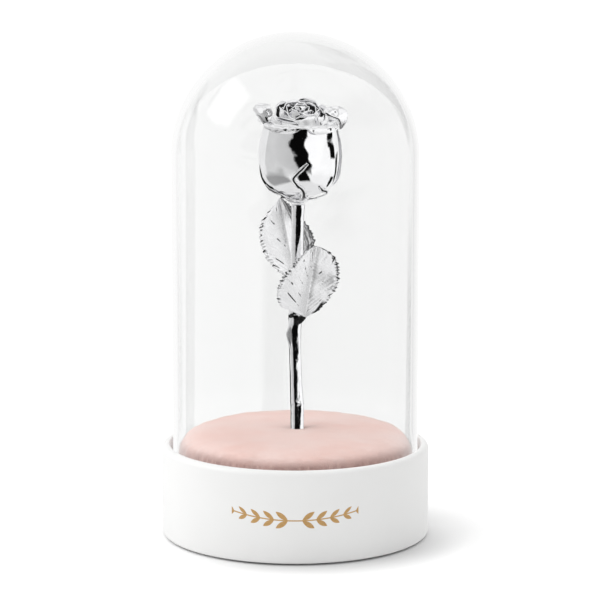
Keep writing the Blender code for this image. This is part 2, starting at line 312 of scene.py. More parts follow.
silverKeys = ("light", "dark", "smooth", "rough", "drift", "grain", "share", "relief")
silverLooks = {name: dict(zip(silverKeys, row)) for name, row in {
    "petal": (0.95, 0.88, 0.01, 0.05, 130.0, 900.0, 0.16, 0.06),
    "innerPetal": (0.95, 0.82, 0.02, 0.08, 260.0, 900.0, 0.16, 0.06),
    "leaf": (0.95, 0.88, 0.10, 0.20, 260.0, 1600.0, 0.25, 0.05),
    "stem": (0.93, 0.84, 0.03, 0.12, 320.0, 1800.0, 0.25, 0.08),
    # the joint's tone is painted almost black: a painted dark reflection
    "joint": (0.07, 0.01, 0.05, 0.15, 900.0, 1800.0, 0.25, 0.08)}.items()}
silverCool = 1.012  # how much bluer than grey
silverGrain = (0.35, 0.75)  # the part of the grain that makes it rougher
silverMarks = {  # dark marks on the plating: start and end of the mark, and how strong it is
    # between the petals, under the lobes and in the sepals' channels the marks are painted shade
    "betweenPetals": (0.84, 0.93, 0.22, 0.0), "betweenScale": (5.0, 5.0), "betweenWander": 0.06,
    "underLobe": (0.20, 0.50, 0.72, 0.0), "lobeScale": (6.0, 6.0), "lobeWander": 0.2,
    "channel": (0.20, 0.28, 0.96, 0.0),
    "scar": (3.4, 5.0, 0.55, 0.0), "scarHeight": 90.6, "scarSide": -2.3, "scarBack": 1.0,
    "scarNarrow": 2.0, "scarWander": 3.0, "scarNoise": (500.0, 1600.0, 0.3)}


def makeSilver(name, look, sheetMarks=None, placeMarks=None):
    material, tree, shader = newMaterial(name, Metallic=1.0)
    place = objectPlace(tree)
    uneven = addUneven(place, look["drift"], look["grain"], look["share"])
    tone = mapRange(uneven["Drift"], *mostNoise, look["dark"], look["light"])
    if sheetMarks:  # worked out on the sheet's own UV
        sheet = splitVector(addNode(tree, "ShaderNodeTexCoord").outputs["UV"])
        tone = times(tone, minus(1.0, sheetMarks(sheet["X"], sheet["Y"])))
    if placeMarks:  # worked out on the place
        tone = times(tone, minus(1.0, placeMarks(place)))
    tones = {0: tone, 1: tone, 2: times(tone, silverCool)}
    setSockets(shader, BaseColor=addNode(tree, "ShaderNodeCombineColor", tones).outputs[0],
               Roughness=mapRange(uneven["Grain"], *silverGrain, look["smooth"], look["rough"]))
    addBump(shader, uneven["Height"], look["relief"])
    return material


def sheetNoise(across, along, scaleAcross, scaleAlong, seed):
    inputs = {0: times(across, scaleAcross), 1: times(along, scaleAlong), 2: seed}
    return noiseTexture(addNode(across.id_data, "ShaderNodeCombineXYZ", inputs).outputs[0], 1.0, 2.0)


def paintedShadeBetweenPetals(across, along):  # painted shade below the rims, between the petals
    wander = sheetNoise(across, along, *silverMarks["betweenScale"], 1.0)
    return mapRange(timesAdd(wander, silverMarks["betweenWander"], along), *silverMarks["betweenPetals"])


def shadowOfLobe(across, along):
    wander = sheetNoise(across, along, *silverMarks["lobeScale"], 2.0)
    return mapRange(timesAdd(wander, silverMarks["lobeWander"], along), *silverMarks["underLobe"])


# painted shade down the middle of the sepal's channel
def paintedShadeInSepalChannel(across, along):
    return mapRange(apart(across, 0.5), *silverMarks["channel"])


def scarOfBud(place):  # on the left of the stem, tapering to a point below
    spot = splitVector(vectorMath("SCALE", place, {"Scale": 1.0 / mm})["Vector"])
    wander = minus(addUneven(place, *silverMarks["scarNoise"])["Height"], 0.5)
    off = timesAdd(apart(spot["X"], silverMarks["scarSide"]), silverMarks["scarNarrow"],
                   apart(spot["Z"], silverMarks["scarHeight"]))
    patch = mapRange(timesAdd(wander, silverMarks["scarWander"], off), *silverMarks["scar"])
    return times(patch, calc("LESS_THAN", spot["Y"], silverMarks["scarBack"]))


petalSilver = makeSilver("petalSilver", silverLooks["petal"])
innerPetalSilver = makeSilver("innerPetalSilver", silverLooks["innerPetal"], paintedShadeBetweenPetals)
stemSilver = makeSilver("stemSilver", silverLooks["stem"], placeMarks=scarOfBud)
jointSilver = makeSilver("jointSilver", silverLooks["joint"])
lobeSilver = makeSilver("lobeSilver", silverLooks["petal"], shadowOfLobe)
sepalSilver = makeSilver("sepalSilver", silverLooks["stem"], paintedShadeInSepalChannel)
print("silver finishes made")


# Base: round white box with a tray in its top and a seat for the foot pad below

baseShape = {
    "radius": 60.0, "bottom": 0.8, "top": 41.4, "edgeRound": 2.4, "footRound": 1.2, "sides": 192,
    "trayRadius": 56.5, "trayFloor": 33.4, "lipRound": 0.6, "socketRadius": 3.9, "socketFloor": 22.0,
    "seatRadius": 56.3, "seatDepth": 1.6}
sprigShape = {  # leaves stand in pairs, one pitch apart, and get smaller towards both ends
    "middle": 20.0, "half": 28.2, "pitch": 6.0, "start": 3.0, "leafLength": 7.4, "leafWidth": 1.25,
    "lean": 34.0, "line": 0.24, "arch": 0.004, "lastLeaf": 0.62, "leafEdge": 0.1, "lineEdge": 0.08,
    "endEdge": 0.2, "tallest": 5.0}
lacquerLook = {
    "white": ((0.80, 0.80, 0.793, 1.0), (0.83, 0.83, 0.823, 1.0)), "uneven": (45.0, 1600.0, 0.35),
    "foil": ((0.46, 0.25, 0.08, 1.0), (0.74, 0.47, 0.20, 1.0)), "foilMetal": 0.2,
    "roughness": (0.30, 0.42), "relief": 0.03}


def makeSprigGroup():  # plain leaf sprig printed on the front in gold
    shape, lean = sprigShape, math.radians(sprigShape["lean"])
    group, given, result = newGroup("leafSprig", {"Vector": "Vector"}, {"Mask": "Float"})
    place = splitVector(given["Vector"])
    angle = calc("ARCTAN2", place["X"], times(place["Y"], -1.0))
    along = calc("ABSOLUTE", times(angle, baseShape["radius"]))
    height = timesAdd(place["Z"], 1.0 / mm, -shape["middle"])
    off = apart(height, times(times(along, along), shape["arch"]))
    local = calc("FRACT", calc("DIVIDE", minus(along, shape["start"]), shape["pitch"]))
    local = times(local, shape["pitch"])
    forward = timesAdd(local, math.cos(lean), times(off, math.sin(lean)))
    sideways = minus(times(off, math.cos(lean)), times(local, math.sin(lean)))
    shrink = mapRange(along, 0.0, shape["half"], 1.0, shape["lastLeaf"])
    share = minus(calc("DIVIDE", forward, times(shrink, shape["leafLength"] / 2.0)), 1.0)
    width = times(minus(1.0, times(share, share)), times(shrink, shape["leafWidth"]))
    leaf = mapRange(minus(width, calc("ABSOLUTE", sideways)), 0.0, shape["leafEdge"])
    leaf = times(leaf, calc("GREATER_THAN", along, shape["start"]))
    line = mapRange(off, shape["line"], shape["line"] + shape["lineEdge"], 1.0, 0.0)
    ends = mapRange(along, shape["half"], shape["half"] + shape["endEdge"], 1.0, 0.0)
    wall = mapRange(off, shape["tallest"], shape["tallest"] + shape["leafEdge"], 1.0, 0.0)
    mask = times(calc("MAXIMUM", leaf, line), times(ends, wall))
    group.links.new(times(mask, calc("LESS_THAN", place["Y"], 0.0)), result["Mask"])
    return group


def makeLacquer():
    look = lacquerLook
    material, tree, shader = newMaterial("satinWhiteLacquer", CoatWeight=0.25, CoatRoughness=0.2)
    place = objectPlace(tree)
    uneven = addUneven(place, *look["uneven"])
    sprig = addNode(tree, "ShaderNodeGroup", {"Vector": place}, node_tree=makeSprigGroup()).outputs["Mask"]
    white, foil = mixColour(uneven["Drift"], *look["white"]), mixColour(uneven["Grain"], *look["foil"])
    setSockets(shader, BaseColor=mixColour(sprig, white, foil), Metallic=times(sprig, look["foilMetal"]),
               Roughness=mapRange(uneven["Grain"], *mostNoise, *look["roughness"]))
    addBump(shader, uneven["Height"], look["relief"])
    return material


def makeBase():
    shape = baseShape
    piece = addCylinder("base_shell", shape["sides"], shape["radius"], shape["bottom"], shape["top"])
    pick(piece, "FACE", lambda centre, normal: normal.z > 0.9)
    inset(shape["radius"] - shape["trayRadius"])
    extrude((0, 0, shape["trayFloor"] - shape["top"]))
    inset(shape["trayRadius"] - shape["socketRadius"])
    extrude((0, 0, shape["socketFloor"] - shape["trayFloor"]))
    setMode("OBJECT")
    pick(piece, "FACE", lambda centre, normal: normal.z < -0.9)
    inset(shape["radius"] - shape["seatRadius"])
    extrude((0, 0, shape["seatDepth"]))
    setMode("OBJECT")
    roundRing(piece, shape["radius"], shape["top"], shape["edgeRound"], 5)
    roundRing(piece, shape["radius"], shape["bottom"], shape["footRound"], 5)
    roundRing(piece, shape["trayRadius"], shape["top"], shape["lipRound"], 4)
    finishPiece(piece, makeLacquer(), "lacquer", "base", angle=40)
    piece.visible_glossy = False  # the plating mirrors the studio cards instead


padShape = {"radius": 56.0, "thick": 2.1, "lowRound": 0.35, "highRound": 0.3, "ringStep": 18.0,
            "uneven": 0.0016, "unevenScale": 0.6, "sides": 160}
feltLook = {"dark": ((0.012, 0.012, 0.013, 1.0), (0.05, 0.05, 0.052, 1.0)), "uneven": (200.0, 3000.0, 0.7),
            "roughness": (0.85, 1.0), "relief": 0.25}


def makeFelt():
    look = feltLook
    material, tree, shader = newMaterial("darkFelt", SheenWeight=0.3, SheenRoughness=0.6)
    uneven = addUneven(objectPlace(tree), *look["uneven"])
    setSockets(shader, BaseColor=mixColour(uneven["Grain"], *look["dark"]),
               Roughness=mapRange(uneven["Drift"], *mostNoise, *look["roughness"]))
    addBump(shader, uneven["Height"], look["relief"])
    return material


def makeFootPad():
    shape = padShape
    piece = addCylinder("felt_pad", shape["sides"], shape["radius"], 0.0, shape["thick"])
    roundRing(piece, shape["radius"], 0.0, shape["lowRound"], 3)
    roundRing(piece, shape["radius"], shape["thick"], shape["highRound"], 2)
    for turns in range(2):
        pick(piece, "FACE", lambda centre, normal: abs(normal.z) > 0.9 and centre.xy.length < 1.0)
        inset(shape["ringStep"])
        setMode("OBJECT")

    def wander(p):
        return p + Vector((p.x, p.y, 0.0)) * (shape["uneven"] * noise.noise(p * shape["unevenScale"]))

    moveVertices(piece, wander)
    finishPiece(piece, makeFelt(), "felt", "foot_pad", angle=40)
    piece.visible_glossy = False


makeBase()
makeFootPad()
print("base and foot pad made")


# Cushion: padded velvet disc, blown up with cloth and then given its pleats

cushionShape = {
    "radius": 51.8, "start": 50.6, "bottom": 33.7, "shoulder": 43.6, "edgeRound": 5.0, "lowRound": 1.5,
    "steps": ((6.0, 1.0), (10.0, 0.9), (12.0, 0.6), (12.0, 0.3)), "sides": 96,  # insets and rises of its top
    "voxel": 4.0, "pressure": 4.0, "frames": 20, "swell": 1.6,
    # radius and height of the finished top, the heights where it comes in, and how closely it is kept to
    "crown": ((0.0, 48.6), (20.0, 48.5), (34.0, 48.2), (42.0, 47.5), (46.0, 46.6), (49.0, 45.3),
              (50.8, 43.6), (51.8, 40.6)), "crownFrom": (38.0, 42.0), "crownKept": 0.9,
    "pleats": ((1.0, 13.0, 0.12, 0.0), (0.5, 27.0, 0.2, 5.0)), "pleatDepth": 0.32, "pleatRise": 0.8,
    "pleatFrom": (38.0, 50.0), "pleatUpFrom": (36.0, 42.0),
    "topFrom": (41.0, 45.0), "lump": 0.35, "lumpScale": 0.045, "lumpStart": 2.0,
    "dimple": 1.1, "dimpleWidth": 4.6, "stemAt": 0.5}
velvetLook = {
    "pale": (0.985, 0.765, 0.715, 1.0), "deep": (0.95, 0.645, 0.58, 1.0), "hem": (0.50, 0.30, 0.27, 1.0),
    "nap": (55.0, 1900.0, 0.55), "napPatches": (0.36, 0.66), "napShare": 0.55, "fibres": (0.92, 1.03),
    "strokes": (120.0, 700.0, 0.5), "strokesSeen": (0.38, 0.62), "strokeShare": 0.45,
    "strokeTurn": (0.0, 0.0, 0.5), "strokeSqueeze": (1.0, 3.2, 1.0),
    "gathers": (420.0, 1500.0, 0.5), "gatherStretch": (1.0, 1.0, 0.12),
    "gatherTone": (0.36, 0.62, 0.45, 1.0),
    # front to back and up the hem, in metres: painted light makes the back lighter, painted shade darkens
    # the hem
    "far": (-0.045, 0.02, 0.94, 1.03), "hemFade": (0.0452, 0.0415, 0.0, 0.85), "gatherWander": 0.006,
    "roughness": (0.8, 1.0), "relief": 0.35}


def makeVelvet():
    look = velvetLook
    material, tree, shader = newMaterial("paleVelvet", SheenWeight=0.6, SheenRoughness=0.35,
                                         SheenTint=(1.0, 0.93, 0.90, 1.0), SpecularIORLevel=0.15)
    place = objectPlace(tree)
    nap = addUneven(place, *look["nap"])
    brushed = remap(place, look["strokeSqueeze"], look["strokeTurn"])
    stroked = mapRange(addUneven(brushed, *look["strokes"])["Height"], *look["strokesSeen"])
    mottle = timesAdd(mapRange(nap["Drift"], *look["napPatches"]), look["napShare"],
                      times(stroked, look["strokeShare"]))
    spot = splitVector(place)
    # fine fibres, times painted light that makes the back lighter than the front
    fibres = times(mapRange(nap["Grain"], *mostNoise, *look["fibres"]), mapRange(spot["Y"], *look["far"]))
    # painted shade on the gathered hem, broken up in fine upright pleats
    gathers = addUneven(remap(place, look["gatherStretch"]), *look["gathers"])["Height"]
    height = timesAdd(minus(gathers, 0.5), look["gatherWander"], spot["Z"])
    edge = times(mapRange(height, *look["hemFade"]), mapRange(gathers, *look["gatherTone"]))
    colour = mixColour(edge, mixColour(mottle, look["pale"], look["deep"]), look["hem"])
    setSockets(shader, BaseColor=vectorMath("SCALE", colour, {"Scale": fibres})[0],
               Roughness=mapRange(nap["Grain"], *mostNoise, *look["roughness"]))
    addBump(shader, nap["Height"], look["relief"])
    return material


def puffUp(piece, shape):
    before = [vertex.co.copy() for vertex in piece.data.vertices]
    cloth = piece.modifiers.new("cloth", "CLOTH")
    cloth.settings.use_pressure = True
    cloth.settings.uniform_pressure_force = shape["pressure"]
    cloth.settings.effector_weights.gravity = 0.0
    for step in range(shape["frames"]):
        bpy.context.scene.frame_set(step + 1)
    bpy.context.view_layer.objects.active = piece
    bpy.ops.object.modifier_apply(modifier=cloth.name)
    bpy.context.scene.frame_set(1)
    for vertex, start in zip(piece.data.vertices, before):
        step = vertex.co - start
        if step.length > shape["swell"] * mm:
            vertex.co = start + step.normalized() * shape["swell"] * mm


def makeCushion():
    shape = cushionShape
    piece = addCylinder("velvet_cushion", shape["sides"], shape["start"], shape["bottom"], shape["shoulder"])
    roundRing(piece, shape["start"], shape["shoulder"], shape["edgeRound"], 4)
    roundRing(piece, shape["start"], shape["bottom"], shape["lowRound"], 2)
    for width, rise in shape["steps"]:
        pick(piece, "FACE", lambda centre, normal: normal.z > 0.9 and centre.xy.length < 0.5)
        inset(width)
        bpy.ops.transform.translate(value=(0, 0, rise * mm))
        setMode("OBJECT")
    useModifier(piece, "REMESH", mode="VOXEL", voxel_size=shape["voxel"] * mm)
    puffUp(piece, shape)
    subdivide(piece, 2)
    widest = max(vertex.co.xy.length for vertex in piece.data.vertices) / mm

    def settle(p):  # keeps it in the tray, then lays pleats round the edge and a dimple at the stem
        p = Vector((p.x * shape["radius"] / widest, p.y * shape["radius"] / widest, p.z))
        radius, turn = p.xy.length, math.atan2(p.y, p.x)
        kept = shape["crownKept"] * smoothStep(*shape["crownFrom"], p.z)
        p.z += (tableValue(shape["crown"], radius) - p.z) * kept
        edge = shape["pleatDepth"] * smoothStep(*shape["pleatFrom"], radius)
        outward = around(turn)
        pleats = sum(noiseOf(setting, outward.x, outward.y, p.z) for setting in shape["pleats"])
        p = p + outward * (edge * pleats)
        p.z += shape["pleatRise"] * edge * pleats * smoothStep(*shape["pleatUpFrom"], p.z)
        top = smoothStep(*shape["topFrom"], p.z)
        lump = noiseAt(p.x * shape["lumpScale"], p.y * shape["lumpScale"], shape["lumpStart"])
        p.z += top * shape["lump"] * lump
        fromStem = math.hypot(p.x - shape["stemAt"], p.y)
        p.z -= top * shape["dimple"] * hump(fromStem, 0.0, shape["dimpleWidth"])
        reach = min(1.0, shape["radius"] / max(p.xy.length, 0.001))
        return Vector((p.x * reach, p.y * reach, max(p.z, shape["bottom"])))

    moveVertices(piece, settle)
    finishPiece(piece, makeVelvet(), "velvet", "cushion")
    piece.visible_glossy = False


makeCushion()
print("cushion made")


# Glass dome, open at the bottom

domeShape = {"radius": 55.0, "wall": 2.7, "top": 225.3, "foot": 33.7, "footRound": 0.9,
             "segments": 160, "rings": 80, "wallParts": 8}
glassLook = {"clear": ((0.935, 0.938, 0.936, 1.0), (0.946, 0.947, 0.946, 1.0)), "uneven": (14.0, 60.0, 0.2),
             "relief": 0.05}


def makeGlass():
    look = glassLook
    material, tree, shader = newMaterial("clearDomeGlass", Roughness=0.0, IOR=1.46, TransmissionWeight=1.0,
                                         SpecularIORLevel=0.22)
    uneven = addUneven(objectPlace(tree), *look["uneven"])
    setSockets(shader, BaseColor=mixColour(uneven["Drift"], *look["clear"]))
    addBump(shader, uneven["Height"], look["relief"])
    rays = addNode(tree, "ShaderNodeLightPath").outputs
    surface = shader.outputs[0]
    for passing in ("Is Shadow Ray", "Is Diffuse Ray", "Glossy Depth"):  # lamps, soft light, mirrored rays
        surface = letThrough(tree, surface, rays[passing])
    tree.links.new(surface, tree.nodes["Material Output"].inputs["Surface"])
    return material


def makeDome():
    shape = domeShape
    middle = shape["top"] - shape["radius"]
    bpy.ops.mesh.primitive_uv_sphere_add(segments=shape["segments"], ring_count=shape["rings"],
                                         radius=shape["radius"] * mm, location=(0, 0, middle * mm))
    piece = startPiece("dome")
    pickAll()
    bpy.ops.mesh.bisect(plane_co=(0, 0, middle * mm), plane_no=(0, 0, 1), clear_inner=True)
    setMode("OBJECT")
    drop = (shape["foot"] - middle) / shape["wallParts"]
    for part in range(shape["wallParts"]):
        level = middle + drop * part
        pick(piece, "EDGE", lambda a, b: abs(a.z - level) < 0.01 and abs(b.z - level) < 0.01)
        extrude((0, 0, drop))
        setMode("OBJECT")
    pickAll()
    bpy.ops.mesh.remove_doubles(threshold=0.01 * mm)
    bpy.ops.mesh.normals_make_consistent(inside=False)
    setMode("OBJECT")
    useModifier(piece, "SOLIDIFY", thickness=shape["wall"] * mm, offset=-1.0, use_even_offset=True)
    for radius in (shape["radius"], shape["radius"] - shape["wall"]):
        roundRing(piece, radius, shape["foot"], shape["footRound"], 4)
    finishPiece(piece, makeGlass(), "dome_glass", "glass_dome", angle=60)


makeDome()
print("dome made")


# Stem, with its growth ring, bud scar and the swollen joint that carries the leaves

stemShape = {  # route: height, side and share of the radius. A hump is its size, its height and its width.
    "radius": 3.0, "sides": 20, "rows": 96,
    "route": ((22.4, 0.5, 0.90), (36.0, 0.6, 0.92), (47.0, 0.8, 0.94), (57.0, 0.8, 0.95),
              (59.8, 0.75, 0.98), (62.5, 0.6, 0.93), (70.0, 0.25, 0.86), (78.0, 0.05, 0.85),
              (84.0, -0.15, 0.87), (90.0, -0.5, 1.04), (95.0, -0.3, 1.06), (98.8, 0.1, 1.18),
              (102.0, 0.2, 1.0), (112.0, 0.4, 0.96), (128.0, 0.8, 0.94), (142.0, 1.1, 0.94),
              (147.0, 1.2, 0.98), (149.4, 1.25, 1.08)),
    "squareness": ((22.0, 4.4), (82.0, 4.4), (94.0, 3.4), (150.0, 3.4)), "squareShare": 0.9,
    "twist": ((22.0, 12.6), (58.0, 12.6), (72.0, 12.6), (80.0, 13.0), (92.0, 3.5), (150.0, 3.5)),
    "waves": (0.08, 0.5, 0.16, 0.0), "flutes": (0.05, 2.2, 0.05, 7.0), "bumps": (0.04, 1.2, 0.45, 3.0),
    "ring": (0.07, 59.8, 0.8), "ringKnobs": (1.0, 2.5, 0.8, 0.0),
    "scarSwell": (0.36, 90.8, 3.6), "scarHollow": (0.7, 97.2, 2.4), "scarTurn": -170.0, "scarWidth": 0.7,
    # what is left of the stipules: place, half sizes and lean
    "ears": ((-1.7, -2.9, 99.5, 1.4, 0.8, 1.0, -25.0), (2.6, -2.9, 98.2, 1.1, 0.8, 2.0, 20.0),
             (1.0, -3.0, 97.2, 1.3, 0.6, 1.9, 0.0)), "earDent": 0.25, "earScale": 1.1}


def makeTube(name, sides, stations):  # a ring drawn out through stations of (x, y, z, radius)
    x, y, z, radius = stations[0]
    bpy.ops.mesh.primitive_circle_add(vertices=sides, radius=radius * mm, fill_type="NGON",
                                      location=(x * mm, y * mm, z * mm))
    piece = startPiece(name)
    pickAll()
    for now, then in zip(stations, stations[1:]):
        grow = then[3] / now[3]
        extrude(Vector(then[:3]) - Vector(now[:3]))
        bpy.ops.transform.resize(value=(grow, grow, 1.0), center_override=Vector(then[:3]) * mm)
    bpy.ops.mesh.select_all(action="SELECT")
    bpy.ops.mesh.normals_make_consistent(inside=False)
    setMode("OBJECT")
    return piece


def makeStem():
    shape = stemShape
    stations = []
    for row in range(shape["rows"] + 1):
        height, side, share = curvePoint(shape["route"], row / shape["rows"])
        stations.append((side, 0.0, height, share * shape["radius"]))
    piece = makeTube("rose_stem", shape["sides"], stations)
    subdivide(piece, 1)

    def sized(key, height):
        size, centre, width = shape[key]
        return size * hump(height, centre, width)

    def grow(p):  # flattens the sides, then lays waves, flutes, bumps, the scar and the ring on them
        out = Vector((p.x - tableValue(shape["route"], p.z), p.y, 0.0))
        if out.length < 0.5:
            return p
        turn = math.atan2(out.y, out.x) - math.radians(tableValue(shape["twist"], p.z))
        x, y = math.cos(turn), math.sin(turn)
        power = tableValue(shape["squareness"], p.z)
        square = (abs(x) ** power + abs(y) ** power) ** (-1.0 / power) - 1.0
        swell = shape["squareShare"] * square * out.length
        swell += noiseOf(shape["waves"], *p)
        swell += noiseOf(shape["flutes"], x, y, p.z)
        swell += noiseOf(shape["bumps"], *p)
        fromScar = math.remainder(turn - math.radians(shape["scarTurn"]), math.tau)
        scar = sized("scarSwell", p.z) - sized("scarHollow", p.z)
        swell += scar * hump(fromScar, 0.0, shape["scarWidth"])
        swell += sized("ring", p.z) * noiseOf(shape["ringKnobs"], x, y, p.z)
        return p + out.normalized() * swell

    moveVertices(piece, grow)
    finishPiece(piece, stemSilver, "silver", "stem")

    def dent(p):
        return p - Vector((0.0, shape["earDent"] * noise.noise(p * shape["earScale"]), 0.0))

    for index, (x, y, z, wide, deep, tall, lean) in enumerate(shape["ears"], 1):
        bpy.ops.mesh.primitive_uv_sphere_add(
            segments=24, ring_count=14, radius=mm, scale=(wide, deep, tall),
            location=(x * mm, y * mm, z * mm), rotation=(0, math.radians(lean), 0))
        ear = startPiece(f"stipule_{index}")
        moveVertices(ear, dent)
        finishPiece(ear, jointSilver, "silver", "stem")


makeStem()
print("stem made")


# Flower. Each petal is one sheet on the cup's curve: u runs -1..1 across it and v 0..1 from root to rim.

bloomShape = {
    "base": (1.3, 0.6, 152.8), "lean": (4.0, 1.5, 0.0), "rimStart": 0.84,
    "cup": ((6.2, 0.4), (10.9, 1.5), (15.8, 4.5), (18.4, 10.0), (19.0, 17.0), (18.3, 23.8), (17.3, 28.6),
            (16.8, 32.0)),  # radius and height
    "cupRadius": 19.0, "rollCentre": (18.5, 32.0), "rollRadii": (1.7, 2.0), "rollEnd": -50.0,
    "top": 34.0, "climb": 6.3, "climbDepth": 3.4, "rootInwards": 0.28, "rootUp": 0.55}


def cupPoint(share):  # radius and height on the outermost petals, 0 at the root and 1 at the end of the roll
    shape = bloomShape
    if share <= shape["rimStart"]:
        return curvePoint(shape["cup"], share / shape["rimStart"])
    turned = (share - shape["rimStart"]) / (1.0 - shape["rimStart"])
    angle = math.radians(180.0 + (shape["rollEnd"] - 180.0) * turned)
    return Vector((shape["rollCentre"][0] + shape["rollRadii"][0] * math.cos(angle),
                   shape["rollCentre"][1] + shape["rollRadii"][1] * math.sin(angle)))


def layerPoint(share, depth):  # the same curve moved inwards: its root climbs and its rim stands higher
    shape = bloomShape
    outer = cupPoint(share)
    rootRadius, rootHeight = shape["cup"][0]
    radius = rootRadius - shape["rootInwards"] * depth
    height = rootHeight + shape["rootUp"] * depth
    top = shape["top"] + shape["climb"] * (1.0 - math.exp(-(depth / shape["climbDepth"]) ** 2))
    widen = (shape["cupRadius"] - depth - radius) / (shape["cupRadius"] - rootRadius)
    lift = (top - height) / (shape["top"] - rootHeight)
    return radius + (outer.x - rootRadius) * widen, height + (outer.y - rootHeight) * lift


def makeSheet(name, across, along, place, thickness):  # place gives millimetres for (u, v)
    bpy.ops.mesh.primitive_grid_add(x_subdivisions=across, y_subdivisions=along, size=2.0)
    piece = startPiece(name)
    for vertex in piece.data.vertices:
        vertex.co = place(vertex.co.x, (vertex.co.y + 1.0) / 2.0) * mm
    useModifier(piece, "SOLIDIFY", thickness=thickness * mm, offset=0.0)
    subdivide(piece, 1)
    return piece


def setOnStem(piece, finish, node):  # leans a piece of the upright flower and lifts it onto the stem
    piece.rotation_euler = [math.radians(angle) for angle in bloomShape["lean"]]
    piece.location = Vector(bloomShape["base"]) * mm
    choose(piece)
    bpy.ops.object.transform_apply(location=True, rotation=True, scale=True)
    finishPiece(piece, finish, "silver", node)


# Closing, tilting, frill and denting say between which shares of its height each of them comes in,
# and dents and folds have a size and a scale.
petalForm = {
    "thickness": 0.5, "foot": 0.34, "open": 0.32, "fall": 0.5, "archAt": 0.04, "archWidth": 0.2,
    "closing": (0.60, 0.90), "tilting": (0.4, 1.0), "frill": (0.8, 1.0), "denting": (0.05, 0.3),
    "frillUp": (2.6, 0.0, 1.7), "frillOut": (3.4, 4.0, 0.3), "frillOutShare": 0.4,
    "bigDent": (0.30, 0.11), "smallDent": (0.12, 0.27), "bigFold": (1.0, 0.32), "smallFold": (0.4, 0.9),
    "smallDentStart": (9.0, 0.0, 0.0), "foldUp": 0.6, "seeds": (0.37, 3.1)}


def makePetal(name, azimuth, halfWidth, depth, reach, left, right, finish, crumple=0.0, arch=0.0,
              closing=0.0, tilt=(0.0, 0.0), wave=0.6, dents=1.0, across=30, along=36):
    # reach is how far up the cup its rim comes, left and right the same at its edges and where the fall
    # begins, tilt how much higher it stands towards the front and the back
    form = petalForm
    seed = Vector((azimuth * form["seeds"][0], depth * form["seeds"][1], 0.0))

    def frillOf(key, u):
        scale, y, z = form[key]
        return noise.noise(seed + Vector((u * scale, y, z)))

    def sized(key, spot, start=(0.0, 0.0, 0.0)):
        size, scale = form[key]
        return size * noise.noise(spot * scale + Vector(start))

    def place(u, v):
        edgeReach, fall = left if u < 0.0 else right
        rim = reach + (edgeReach - reach) * smoothStep(fall, fall + form["fall"], abs(u))
        rim -= arch * hump(u, form["archAt"], form["archWidth"])
        share = v * (1.5 - 0.5 * v) * rim  # rows lie closer near the rim
        radius, height = layerPoint(share, depth)
        radius *= 1.0 - closing * smoothStep(*form["closing"], share)
        width = halfWidth * (form["foot"] + (1.0 - form["foot"]) * smoothStep(0.0, form["open"], v))
        turn = math.radians(azimuth + width * u)
        outward = around(turn)
        frill = smoothStep(*form["frill"], v)
        height += wave * frill * frillOf("frillUp", u)
        radius += form["frillOutShare"] * wave * frill * frillOf("frillOut", u)
        height += tilt[0 if outward.y < 0.0 else 1] * outward.y * radius * smoothStep(*form["tilting"], v)
        spot = around(turn, radius, height)
        dent = sized("bigDent", spot) + sized("smallDent", spot, form["smallDentStart"])
        folds = crumple * frill * (sized("bigFold", spot) + sized("smallFold", spot))
        spot += outward * (dents * dent * smoothStep(*form["denting"], v) + folds)
        return spot + Vector((0.0, 0.0, form["foldUp"] * folds))

    setOnStem(makeSheet(name + "_sheet", across, along, place, form["thickness"]), finish, name)


lobeShapes = {  # both side petals turn an upper corner over to the front: its edges from the bowl up
    "petal_outer_3": {
        "left": ((-15.2, -9.5, 32.2), (-17.2, -9.0, 35.0), (-19.6, -8.0, 37.6), (-20.6, -7.0, 39.4),
                 (-19.5, -6.5, 41.0), (-17.6, -6.0, 41.8)),
        "right": ((-13.6, -11.0, 32.4), (-13.0, -10.5, 34.5), (-12.6, -10.0, 36.5), (-12.4, -9.5, 38.4),
                  (-12.6, -9.0, 40.0), (-13.4, -8.0, 41.6)), "bulge": 1.6},
    "petal_outer_4": {
        "left": ((17.2, -9.0, 31.6), (17.0, -9.5, 34.0), (15.5, -10.0, 36.0), (11.5, -10.0, 37.5),
                 (9.8, -9.5, 39.5), (12.5, -8.5, 41.4)),
        "right": ((18.0, -8.0, 31.8), (19.6, -7.5, 34.0), (20.4, -7.0, 36.0), (20.6, -7.0, 38.0),
                  (19.6, -7.0, 40.0), (16.5, -7.0, 41.5)), "bulge": 1.4},
}
lobeForm = {"bulgeBend": 0.7, "dent": 0.5, "dentScale": 0.35, "grid": (24, 30)}


def makeLobe(node):
    shape, form = lobeShapes[node], lobeForm

    def place(u, v):
        spot = curvePoint(shape["left"], v).lerp(curvePoint(shape["right"], v), (u + 1.0) / 2.0)
        bulge = shape["bulge"] * (1.0 - u * u) * math.sin(math.pi * v) ** form["bulgeBend"]
        dent = form["dent"] * noise.noise(spot * form["dentScale"])
        return spot + Vector((0.0, -bulge - dent, 0.0))

    piece = makeSheet(node + "_lobe", *form["grid"], place, petalForm["thickness"])
    setOnStem(piece, lobeSilver, node)


def coil(shape, share):  # turn and radius on a coil, from its outer end at 0 to its inner end at 1
    turn = math.radians(shape["first"]) + share * shape["turns"] * math.tau
    return turn, shape["outer"] + (shape["inner"] - shape["outer"]) * share


curlShape = {"centre": (-13.9, -11.6, 38.6), "outer": 2.0, "inner": 1.1, "turns": 1.35, "first": 150.0,
             "back": (-0.8, 7.0, -1.2), "taper": 0.25, "thickness": 0.85, "grid": (48, 10)}


def makeCurl():  # the rolled-up corner of the left petal, seen end on from the front
    shape = curlShape

    def place(u, v):
        turn, radius = coil(shape, (u + 1.0) / 2.0)
        radius *= 1.0 - shape["taper"] * v
        ring = Vector((radius * math.cos(turn), 0.0, radius * math.sin(turn)))
        return Vector(shape["centre"]) + ring + Vector(shape["back"]) * v

    piece = makeSheet("petal_outer_3_curl", *shape["grid"], place, shape["thickness"])
    setOnStem(piece, innerPetalSilver, "petal_outer_3")


